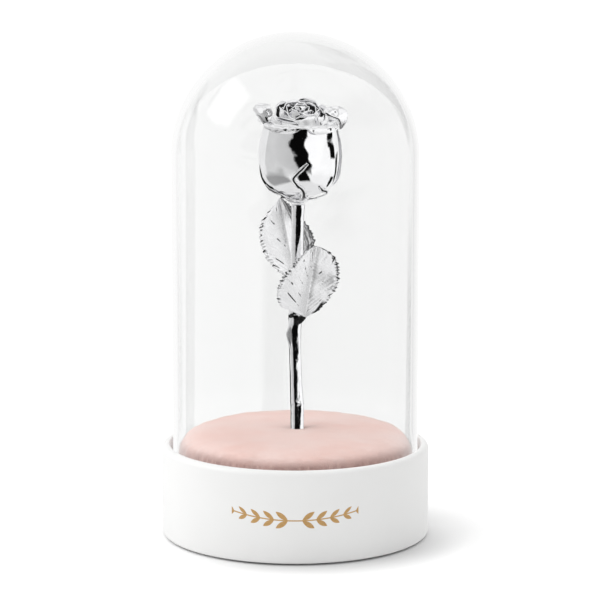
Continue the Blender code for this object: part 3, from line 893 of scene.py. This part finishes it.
scrollShape = {"turns": 1.6, "first": 200.0, "outer": 2.7, "inner": 0.9, "low": 9.8, "high": 40.4,
               "foot": 0.45, "open": 0.6, "sink": 0.8, "rim": (0.8, 1.0), "frill": 0.5, "frillScale": 6.0,
               "thickness": 0.45, "grid": (72, 16)}


def makeCentre():  # the rolled petal in the very middle
    shape = scrollShape

    def place(u, v):
        share = (u + 1.0) / 2.0
        turn, radius = coil(shape, share)
        radius *= shape["foot"] + (1.0 - shape["foot"]) * smoothStep(0.0, shape["open"], v)
        height = shape["low"] + (shape["high"] - shape["low"]) * v - shape["sink"] * share * v
        rim = smoothStep(*shape["rim"], v)
        height += shape["frill"] * rim * noiseAt(share * shape["frillScale"], 0.0, 0.0)
        return around(turn, radius, height)

    piece = makeSheet("petal_centre_scroll", *shape["grid"], place, shape["thickness"])
    setOnStem(piece, innerPetalSilver, "petal_centre")


outerPetals = (  # azimuth, half width, depth, reach of the rim, then reach and fall at both edges
    (272, 54, 0.0, 1.00, (0.97, 0.5), (0.97, 0.5)), (54, 56, 0.2, 0.96, (0.90, 0.4), (0.92, 0.4)),
    (184, 55, 1.2, 0.95, (0.86, 0.4), (0.86, 0.4)), (354, 55, 1.3, 0.95, (0.86, 0.4), (0.86, 0.4)),
    (124, 54, 2.2, 0.92, (0.79, 0.0), (0.79, 0.0)))
outerDetail = ({"crumple": 0.6, "arch": 0.05, "dents": 0.7, "across": 72, "along": 80}, {},
               {"crumple": 0.25}, {"crumple": 0.15}, {})
spiralShape = {  # first and step are turns, and the later a petal the wider, deeper, lower and calmer it is
    "first": 238.0, "step": 137.5, "depth": 3.3, "inwards": 0.78, "halfWidth": 54.0, "wider": 24.0,
    "reach": 0.885, "edgeReach": 0.82, "lower": 0.02, "fall": 0.25, "tilt": (0.18, 0.28), "closing": 0.15,
    "wave": 0.5, "dents": 0.4, "calmer": 0.2}
spiralNames = [f"petal_{ring}_{number}" for ring, count in (("middle", 5), ("inner", 4), ("core", 6))
               for number in range(1, count + 1)]


def makeFlower():  # the outer five overlap as a rose's do, and the rest wind inwards
    for index, (petal, detail) in enumerate(zip(outerPetals, outerDetail), 1):
        makePetal(f"petal_outer_{index}", *petal, petalSilver, **{"across": 44, "along": 56, **detail})
    for node in lobeShapes:
        makeLobe(node)
    makeCurl()
    shape = spiralShape
    for index, name in enumerate(spiralNames):
        share = index / (len(spiralNames) - 1)
        side = (shape["edgeReach"] - shape["lower"] * share, shape["fall"])
        calmer = shape["calmer"] * share
        makePetal(name, shape["first"] + shape["step"] * index, shape["halfWidth"] + shape["wider"] * share,
                  shape["depth"] + shape["inwards"] * index, shape["reach"] - shape["lower"] * share,
                  side, side, innerPetalSilver, closing=shape["closing"], tilt=shape["tilt"],
                  wave=shape["wave"] - calmer, dents=shape["dents"] - calmer,
                  along=36 if share < 0.5 else 28)


calyxShape = {
    "profile": ((0.3, 9.4), (0.9, 9.0), (5.5, 0.4), (6.2, -0.4), (5.9, -1.3), (4.6, -2.3), (3.3, -3.0)),
    "sides": 40, "dent": 0.05, "dentScale": 0.35}
sepalShapes = {  # azimuth and share of the cup's curve along each one, from the calyx out
    "sepal_1": ((281, 0.05), (280, 0.16), (277, 0.27), (268, 0.33), (263, 0.375), (267, 0.415), (274, 0.455),
                (281, 0.495)),
    "sepal_2": ((310, 0.05), (316, 0.14), (323, 0.20), (317, 0.25), (308, 0.27), (300, 0.31)),
    "sepal_3": ((52, 0.02), (54, 0.12), (58, 0.20), (56, 0.28)),
    "sepal_4": ((122, 0.02), (121, 0.12), (116, 0.21), (118, 0.29)),
    "sepal_5": ((236, 0.05), (237, 0.13), (241, 0.19), (232, 0.23), (223, 0.26), (217, 0.30)),
}
sepalWidth = {"foot": 1.7, "middle": 0.95, "tip": 0.45, "rim": 0.35, "clear": 0.6, "thickness": 0.3,
              "footEnd": 0.4, "tipStart": 0.85, "lift": 0.2, "liftScale": (1.5, 6.0), "grid": (12, 60)}


def makeCalyx():
    shape = calyxShape
    stations = [(0.0, 0.0, height, radius) for radius, height in reversed(shape["profile"])]
    piece = makeTube("rose_hip", shape["sides"], stations)
    subdivide(piece, 2)

    def dent(p):
        return p + Vector((p.x, p.y, 0.0)) * (shape["dent"] * noise.noise(p * shape["dentScale"]))

    moveVertices(piece, dent)
    setOnStem(piece, stemSilver, "calyx")


def makeSepal(name, path):  # a narrow channel with raised rims that lies along the underside of the petals
    shape = sepalWidth

    def under(v):  # the place on the petals' underside, and which way it faces
        azimuth, share = curvePoint(path, v)
        outer, slope = cupPoint(share), (cupPoint(share + 0.01) - cupPoint(share - 0.01)).normalized()
        turn = math.radians(azimuth)
        return around(turn, outer.x, outer.y), around(turn, slope.y, -slope.x)

    def place(u, v):
        spot, face = under(v)
        along = under(min(v + 0.02, 1.0))[0] - under(max(v - 0.02, 0.0))[0]
        width = shape["middle"]
        width += (shape["foot"] - shape["middle"]) * (1.0 - smoothStep(0.0, shape["footEnd"], v))
        width += (shape["tip"] - shape["middle"]) * smoothStep(shape["tipStart"], 1.0, v)
        lift = noiseAt(u * shape["liftScale"][0], v * shape["liftScale"][1], path[0][0])
        off = shape["clear"] + shape["rim"] * u * u + shape["lift"] * lift
        return spot + along.cross(face).normalized() * (u * width) + face * off

    setOnStem(makeSheet(name + "_blade", *shape["grid"], place, shape["thickness"]), sepalSilver, name)


makeFlower()
makeCentre()
makeCalyx()
for sepalName, sepalPath in sepalShapes.items():
    makeSepal(sepalName, sepalPath)
print("flower made")


# Leaves, with toothed margins, a sunken midrib and side veins

leafShapes = {  # left and right are half widths from foot to tip, strip and dull the strength of the painted shade on the turned-under margin and the folded half
    "leaf_front": {
        "stalk": ((1.2, -4.1, 96.4), (2.4, -5.4, 97.6), (4.2, -6.4, 99.8)), "stalkShare": 0.12,
        "tip": (9.3, -17.0, 132.8), "bow": 0.8, "facing": (-0.10, -1.0, 0.0),
        "tuck": 1.2, "seed": 3.0, "strip": 0.985, "dull": 0.0,
        "left": ((0, 1.2), (0.02, 3.6), (0.05, 8.2), (0.08, 11.4), (0.14, 12.9), (0.22, 13.8), (0.35, 13.9),
                 (0.44, 13.2), (0.53, 12.4), (0.62, 10.6), (0.75, 7.8), (0.89, 4.6), (0.96, 2.6), (1, 0.3)),
        "right": ((0, 1.2), (0.06, 3.1), (0.12, 5.7), (0.27, 8.8), (0.41, 10.8), (0.5, 12.0), (0.61, 12.4),
                  (0.71, 12.0), (0.8, 11.2), (0.875, 9.9), (0.93, 8.0), (0.97, 5.6), (0.99, 3.4), (1, 0.6))},
    "leaf_back": {
        "stalk": ((-0.4, 4.5, 97.5), (-0.5, 5.8, 103.0), (-0.3, 6.4, 114.6)), "stalkShare": 0.22,
        "tip": (-7.0, 22.0, 149.4), "bow": -0.8, "facing": (-0.12, -1.0, 0.0),
        "tuck": 0.0, "seed": 11.0, "strip": 0.0, "dull": 0.8,
        "left": ((0, 1.2), (0.08, 4.8), (0.14, 7.0), (0.22, 9.2), (0.31, 11.2), (0.44, 12.3), (0.55, 12.7),
                 (0.63, 12.5), (0.71, 11.6), (0.78, 10.3), (0.84, 7.6), (0.89, 5.4), (0.94, 2.4), (1, 0.3)),
        "right": ((0, 1.2), (0.1, 5.4), (0.2, 9.0), (0.3, 11.3), (0.4, 12.4), (0.5, 11.8), (0.6, 10.4),
                  (0.7, 8.4), (0.8, 6.2), (0.9, 3.6), (0.96, 1.8), (1, 0.3))},
}
leafDetail = {
    "teeth": 20, "tooth": 1.0, "stray": 0.3, "strayTurns": 29.0, "margin": (0.82, 1.0), "curl": 0.30,
    "fold": 0.05, "veins": 6.0, "veinSlant": 0.42, "veinBend": 0.8, "veinDepth": 0.10, "ribDepth": 0.14,
    "ribWidth": 1.3, "puff": 0.05, "stalkWidth": 0.9, "stalkHollow": 0.5, "thickness": 0.55,
    "footEnd": 0.03, "marginFrom": (0.02, 0.12), "toothBend": 1.5, "toothEnd": (0.95, 1.0),
    "curlTone": (0.6, 0.8), "curlScale": (14.0, 2.0), "tuckAt": (0.2, 0.12),
    "veinSeen": (0.0, 0.5), "veinScale": (2.2, 5.0), "veinWidth": 0.10, "flutterFrom": (0.6, 1.0),
    "veinWave": (0.12, 4.0), "wave": (0.35, 0.09), "flutter": (0.2, 9.0),  # size and scale
    "grid": (30, 150)}
leafShades = {  # start and end of each mark and its strength at both, across or along the leaf
    "midrib": (-0.34, -0.02, 0.0, 0.24), "midribEnd": (0.0, 0.02, 1.0, 0.0),
    "notch": (0.86, 0.93, 0.0, 0.95), "notchWidth": (0.26, 0.36),
    "notchScale": (1.6, 9.0), "notchPatches": (0.48, 0.55),
    "dash": (0.05, 0.09, 0.95, 0.0), "dashStart": (0.10, 0.16),
    "dashScale": (7.0, 6.0), "dashPatches": (0.57, 0.61),
    "strip": (0.68, 0.76), "stripStart": (0.06, 0.09), "stripEnd": (0.24, 0.30, 1.0, 0.0),
    "dull": (0.30, 0.42), "creaseScale": (26.0, 7.0), "creases": (0.42, 0.56, 0.35, 1.0),
    "stalk": 0.985, "stalkFrom": 0.9, "stalkTo": 1.05}


def makeLeafSilver(name):
    shape, detail, shades = leafShapes[name], leafDetail, leafShades
    seed, stalkEnd = shape["seed"], shape["stalkShare"]

    def leafMarks(across, along):
        side = timesAdd(across, 2.0, -1.0)
        off = calc("ABSOLUTE", side)
        share = mapRange(along, stalkEnd, 1.0)
        # painted shade on the left of the midrib
        fold = times(mapRange(side, *shades["midrib"]), mapRange(side, *shades["midribEnd"]))
        # painted dark reflections in the notches between the teeth
        stray = calc("SINE", timesAdd(share, detail["strayTurns"], seed))
        tooth = timesAdd(share, detail["teeth"], times(stray, detail["stray"]))
        tooth = calc("FRACT", calc("ADD", tooth, 1.0))
        patches = sheetNoise(across, share, *shades["notchScale"], seed)
        notch = times(mapRange(off, *shades["notch"]), mapRange(apart(tooth, 0.5), *shades["notchWidth"]))
        notch = times(notch, mapRange(patches, *shades["notchPatches"]))
        # painted dark reflections: short dashes along some of the side veins
        vein = minus(share, times(calc("POWER", off, detail["veinBend"]), detail["veinSlant"]))
        vein = calc("PINGPONG", times(vein, detail["veins"]), 0.5)
        patches = sheetNoise(across, share, *shades["dashScale"], seed + 3.0)
        dash = times(mapRange(vein, *shades["dash"]), mapRange(patches, *shades["dashPatches"]))
        dash = times(dash, mapRange(off, *shades["dashStart"]))
        # painted shade on the margin that turns under, low on the right, and on the folded half behind the
        # stem
        strip = times(mapRange(side, *shades["strip"], 0.0, shape["strip"]),
                      times(mapRange(share, *shades["stripStart"]), mapRange(share, *shades["stripEnd"])))
        creases = mapRange(sheetNoise(across, share, *shades["creaseScale"], seed + 6.0), *shades["creases"])
        dull = times(mapRange(side, *shades["dull"], 0.0, shape["dull"]), creases)
        # the stalk is painted almost black, as painted shade at the joint
        stalk = mapRange(along, stalkEnd * shades["stalkFrom"], stalkEnd * shades["stalkTo"],
                         shades["stalk"], 0.0)
        marks = fold
        for mark in (notch, dash, strip, dull, stalk):
            marks = calc("MAXIMUM", marks, mark)
        return marks

    return makeSilver(name + "_silver", silverLooks["leaf"], leafMarks)


def makeLeaf(name):
    shape, detail = leafShapes[name], leafDetail
    foot, point = Vector(shape["stalk"][-1]), Vector(shape["tip"])
    upward = (point - foot).normalized()
    across = upward.cross(Vector(shape["facing"])).normalized()
    face = across.cross(upward)

    def placeOnStalk(u, share):
        ahead, behind = curvePoint(shape["stalk"], share + 0.05), curvePoint(shape["stalk"], share - 0.05)
        side = (ahead - behind).cross(face).normalized()
        return (curvePoint(shape["stalk"], share) + side * (detail["stalkWidth"] * u)
                - face * (detail["stalkHollow"] * (1.0 - u * u)))

    def place(u, v):
        if v < shape["stalkShare"]:
            return placeOnStalk(u, v / shape["stalkShare"])
        share = (v - shape["stalkShare"]) / (1.0 - shape["stalkShare"])
        middle = foot.lerp(point, share) + face * (shape["bow"] * math.sin(math.pi * share))
        width = tableValue(shape["left" if u < 0.0 else "right"], share)
        opened = smoothStep(0.0, detail["footEnd"], share)
        width = detail["stalkWidth"] + (width - detail["stalkWidth"]) * opened
        stray = detail["stray"] * math.sin(share * detail["strayTurns"] + shape["seed"])
        tooth = (share * detail["teeth"] + stray) % 1.0
        outer = smoothStep(*detail["margin"], abs(u))
        margin = outer * smoothStep(*detail["marginFrom"], share)
        ending = 1.0 - smoothStep(*detail["toothEnd"], share)
        width += detail["tooth"] * margin * (tooth ** detail["toothBend"] - 0.5) * ending
        rise = detail["fold"] * abs(u) * width
        curled = noiseAt(share * detail["curlScale"][0], u * detail["curlScale"][1], shape["seed"])
        curled = detail["curlTone"][0] + detail["curlTone"][1] * curled
        rise += detail["curl"] * curled * margin * math.sin(math.tau * tooth)
        rise -= shape["tuck"] * smoothStep(*detail["margin"], u) * hump(share, *detail["tuckAt"])
        # side veins pressed in, and the blade a little puffed between them
        vein = (share - detail["veinSlant"] * abs(u) ** detail["veinBend"]) * detail["veins"]
        vein += detail["veinWave"][0] * math.sin(u * detail["veinWave"][1])
        near = abs(vein - round(vein))
        strong = noiseAt(u * detail["veinScale"][0], share * detail["veinScale"][1], shape["seed"] + 4.0)
        strong = smoothStep(*detail["veinSeen"], strong)
        rise -= detail["veinDepth"] * strong * hump(near, 0.0, detail["veinWidth"]) * (1.0 - outer)
        rise += detail["puff"] * math.sin(math.pi * min(near * 2.0, 1.0)) * (1.0 - outer)
        rise -= detail["ribDepth"] * hump(u * width, 0.0, detail["ribWidth"])
        # slow waves over the whole blade
        spot = middle + across * (width * u)
        size, scale = detail["wave"]
        rise += size * noise.noise(spot * scale + Vector((0.0, shape["seed"], 0.0)))
        size, scale = detail["flutter"]
        flutter = math.sin(share * scale + shape["seed"] * u)
        rise += size * smoothStep(*detail["flutterFrom"], abs(u)) * flutter
        return spot + face * rise

    piece = makeSheet(name + "_blade", *detail["grid"], place, detail["thickness"])
    finishPiece(piece, makeLeafSilver(name), "silver", name)


for leafName in leafShapes:
    makeLeaf(leafName)
print("leaves made")


# Studio

studioLook = {
    # what the silver mirrors: tones by azimuth from the front, at eye level, below and above
    "room": ((-180, 0.95), (-112, 1.0), (-104, 0.74), (-70, 0.78), (-18, 0.62), (-13, 0.0), (22, 0.0),
             (25, 1.25), (120, 1.15), (180, 0.95)),
    "ground": ((-180, 0.92), (-134, 0.92), (-122, 0.40), (-60, 0.38), (-50, 1.05), (-28, 1.05), (-22, 0.0),
               (6, 0.0), (10, 1.1), (110, 1.1), (180, 0.92)),
    "groundFrom": (-0.28, -0.42), "nadir": 0.93, "nadirFrom": (-0.64, -0.72),
    "clouds": (2.6, 4.0), "cloudTone": (0.40, 0.56, 0.74, 1.12), "aboveFrom": (0.30, 0.45),
    # dark cards: azimuth, half its width, lowest and highest point, tone
    "cards": ((101, 10, -0.06, 0.12, 0.0), (170, 10, -0.82, -0.46, 0.40), (-173, 13, -0.90, -0.14, 0.01),
              (127, 11, -0.36, -0.10, 0.01), (95, 8, -0.62, -0.38, 0.01)),
    "cardEdge": 1.5, "cardEnd": 0.02, "wobble": (20.0, 5.0), "uneven": 0.024, "slant": 0.12,
    # what the glass and the lacquer mirror: grey in front, white behind, and the ceiling the same way
    "calm": ((-180, 1.0), (-120, 1.0), (-80, 0.35), (-50, 0.04), (50, 0.04), (85, 0.30), (125, 0.95),
             (180, 1.0)),
    "ceiling": (0.0, 0.20, 0.34, 0.94), "ceilingFrom": (0.62, 0.85),
    "innerDepth": 1.5, "innerBelow": -0.35,  # from here on mirrored rays see the silver's room
    "softWhite": 0.48, "softTop": 0.75, "softSide": 0.08,
    "sunAzimuth": -87.0, "sunElevation": 42.0, "sunSpread": 60.0, "sunStrength": 0.94,
    "windowAzimuth": -80.0, "windowElevation": 38.5, "windowWidth": 0.10, "windowHeight": 0.20,
    "windowEdge": 0.10, "windowGlow": 3.0,
}
white = (1.0, 1.0, 1.0, 1.0)


def grey(tone):
    return (tone, tone, tone, 1.0)


def towards(azimuth, elevation):  # a direction, with azimuth 0 towards the front and 90 to the right
    turn, rise = math.radians(azimuth), math.radians(elevation)
    return Vector((math.sin(turn) * math.cos(rise), -math.cos(turn) * math.cos(rise), math.sin(rise)))


def addRamp(share, tones):
    ramp = addNode(share.id_data, "ShaderNodeValToRGB", {0: share})
    stops = ramp.color_ramp.elements
    for stop, (azimuth, tone) in ((stops[0], tones[0]), (stops[1], tones[-1])):
        stop.position, stop.color = azimuth / 360.0 + 0.5, grey(tone)
    for azimuth, tone in tones[1:-1]:
        stops.new(azimuth / 360.0 + 0.5).color = grey(tone)
    return ramp.outputs[0]


def silverRoom(direction, axes, share):  # what the plating mirrors
    look = studioLook
    wobble = times(minus(noiseTexture(direction, *look["wobble"]), 0.5), look["uneven"])
    slanted = calc("FRACT", calc("ADD", wobble, timesAdd(axes["Z"], look["slant"], share)))
    room = addRamp(slanted, look["room"])
    room = mixColour(mapRange(axes["Z"], *look["groundFrom"]), room, addRamp(slanted, look["ground"]))
    room = mixColour(mapRange(axes["Z"], *look["nadirFrom"]), room, grey(look["nadir"]))
    edge, end = look["cardEdge"], look["cardEnd"]
    for azimuth, half, bottom, top, tone in look["cards"]:
        off = apart(slanted, azimuth / 360.0 + 0.5)
        wide = mapRange(off, (half - edge) / 360.0, (half + edge) / 360.0, 1.0, 0.0)
        tall = times(mapRange(axes["Z"], bottom - end, bottom + end),
                     mapRange(axes["Z"], top - end, top + end, 1.0, 0.0))
        room = mixColour(times(wide, tall), room, grey(tone))
    clouds = mapRange(noiseTexture(direction, *look["clouds"]), *look["cloudTone"])
    return mixColour(mapRange(axes["Z"], *look["aboveFrom"]), room, clouds)


def softbox(direction):  # a lit rectangle up on the left
    look = studioLook
    centre = towards(look["windowAzimuth"], look["windowElevation"])
    right = centre.cross(Vector((0, 0, 1))).normalized()

    def dot(vector):
        return vectorMath("DOT_PRODUCT", direction, {1: vector})["Value"]

    def within(vector, half):
        off = calc("ABSOLUTE", calc("DIVIDE", dot(vector), facing))
        return mapRange(off, half, half + look["windowEdge"], 1.0, 0.0)

    facing = calc("MAXIMUM", dot(centre), 0.001)
    return times(within(right, look["windowWidth"]), within(right.cross(centre), look["windowHeight"]))


def makeWorld():
    look = studioLook
    world = bpy.data.worlds.new("studioRoom")
    bpy.context.scene.world = world
    world.use_nodes = True
    world.cycles.sampling_method = "NONE"
    tree = world.node_tree
    rays = addNode(tree, "ShaderNodeLightPath").outputs
    direction = addNode(tree, "ShaderNodeTexCoord").outputs["Generated"]
    axes = splitVector(direction)
    share = timesAdd(calc("ARCTAN2", axes["X"], times(axes["Y"], -1.0)), 0.5 / math.pi, 0.5)
    calm = mixColour(mapRange(axes["Z"], *look["ceilingFrom"]), addRamp(share, look["calm"]),
                     mapRange(axes["Y"], *look["ceiling"]))
    inner = calc("MAXIMUM", calc("GREATER_THAN", rays["Transmission Depth"], look["innerDepth"]),
                 calc("LESS_THAN", axes["Z"], look["innerBelow"]))
    mirrored = mixColour(inner, calm, silverRoom(direction, axes, share))
    mirrored = mixColour(times(softbox(direction), minus(1.0, inner)), mirrored, grey(look["windowGlow"]))
    # soft light for the matt surfaces, strongest from above and from the left
    soft = timesAdd(axes["X"], -look["softSide"], look["softWhite"])
    soft = timesAdd(calc("MAXIMUM", axes["Z"], 0.0), look["softTop"], soft)
    seen = mixColour(calc("MINIMUM", rays["Glossy Depth"], 1.0), white, mirrored)
    seen = mixColour(calc("MINIMUM", rays["Diffuse Depth"], 1.0), seen, soft)
    tree.links.new(seen, tree.nodes["Background"].inputs["Color"])


floorLook = {  # in metres: a painted glow in a ring round the base, and a painted contact shadow before it
    "pale": (grey(0.94), grey(0.95)), "uneven": (2.0, 40.0, 0.3), "size": 60.0,
    "glow": (0.065, 0.100, 0.0, 0.13), "glowEnd": (0.110, 0.34, 1.0, 0.0),
    "dim": (0.057, 0.075, 0.26, 0.0), "dimCentre": (0.004, -0.004, 0.0),
    "dimFront": (0.01, -0.04), "dimSide": (-0.055, -0.015, 0.1, 1.0)}


def makeFloor():
    look = floorLook
    material, tree, shader = newMaterial("paleFloor", Roughness=0.9, SpecularIORLevel=0.0,
                                         EmissionColor=white)
    place = objectPlace(tree)
    axes = splitVector(place)
    away = vectorMath("LENGTH", place)["Value"]
    # painted contact shadow on the floor, before the base and to its right
    beside = vectorMath("DISTANCE", place, {1: look["dimCentre"]})["Value"]
    front = times(mapRange(axes["Y"], *look["dimFront"]), mapRange(axes["X"], *look["dimSide"]))
    unshadowed = minus(1.0, times(mapRange(beside, *look["dim"]), front))
    pale = mixColour(addUneven(place, *look["uneven"])["Drift"], *look["pale"])
    # the emission is a painted glow in a ring round the base
    setSockets(shader, BaseColor=vectorMath("SCALE", pale, {"Scale": unshadowed})[0],
               EmissionStrength=times(mapRange(away, *look["glow"]), mapRange(away, *look["glowEnd"])))
    # the plating mirrors the room instead
    mirrored = calc("MINIMUM", addNode(tree, "ShaderNodeLightPath").outputs["Glossy Depth"], 1.0)
    surface = letThrough(tree, shader.outputs[0], mirrored)
    tree.links.new(surface, tree.nodes["Material Output"].inputs["Surface"])
    bpy.ops.mesh.primitive_plane_add(size=look["size"], location=(0, 0, 0))
    floor = startPiece("floor")
    floor.data.materials.append(material)


def facingBack(away):  # the rotation of a lamp or camera that looks back from there
    return (-away).to_track_quat("-Z", "Y").to_euler()


def makeLights():
    away = towards(studioLook["sunAzimuth"], studioLook["sunElevation"])
    bpy.ops.object.light_add(type="SUN", location=away, rotation=facingBack(away))
    light = bpy.context.active_object
    light.name = "soft_key"
    light.data.angle = math.radians(studioLook["sunSpread"])
    light.data.energy = studioLook["sunStrength"]
    light.visible_glossy = False
    light.visible_transmission = False


cameraView = {"elevation": 9.26, "distance": 1080.0, "target": (2.1, 0.0, 106.0), "lens": 145.1}


def makeCamera():
    away = towards(0.0, cameraView["elevation"])
    spot = (Vector(cameraView["target"]) + away * cameraView["distance"]) * mm
    bpy.ops.object.camera_add(location=spot, rotation=facingBack(away))
    camera = bpy.context.active_object
    camera.data.lens = cameraView["lens"]
    camera.data.sensor_width = 36.0
    camera.data.clip_end = 100.0
    bpy.context.scene.camera = camera


makeWorld()
makeFloor()
makeLights()
makeCamera()
scene = bpy.context.scene
scene.view_settings.view_transform = "Standard"
scene.cycles.max_bounces = 24
scene.cycles.glossy_bounces = 8
scene.cycles.transmission_bounces = 16
scene.cycles.transparent_max_bounces = 16
scene.cycles.caustics_reflective = False
scene.cycles.caustics_refractive = False
print("studio made")
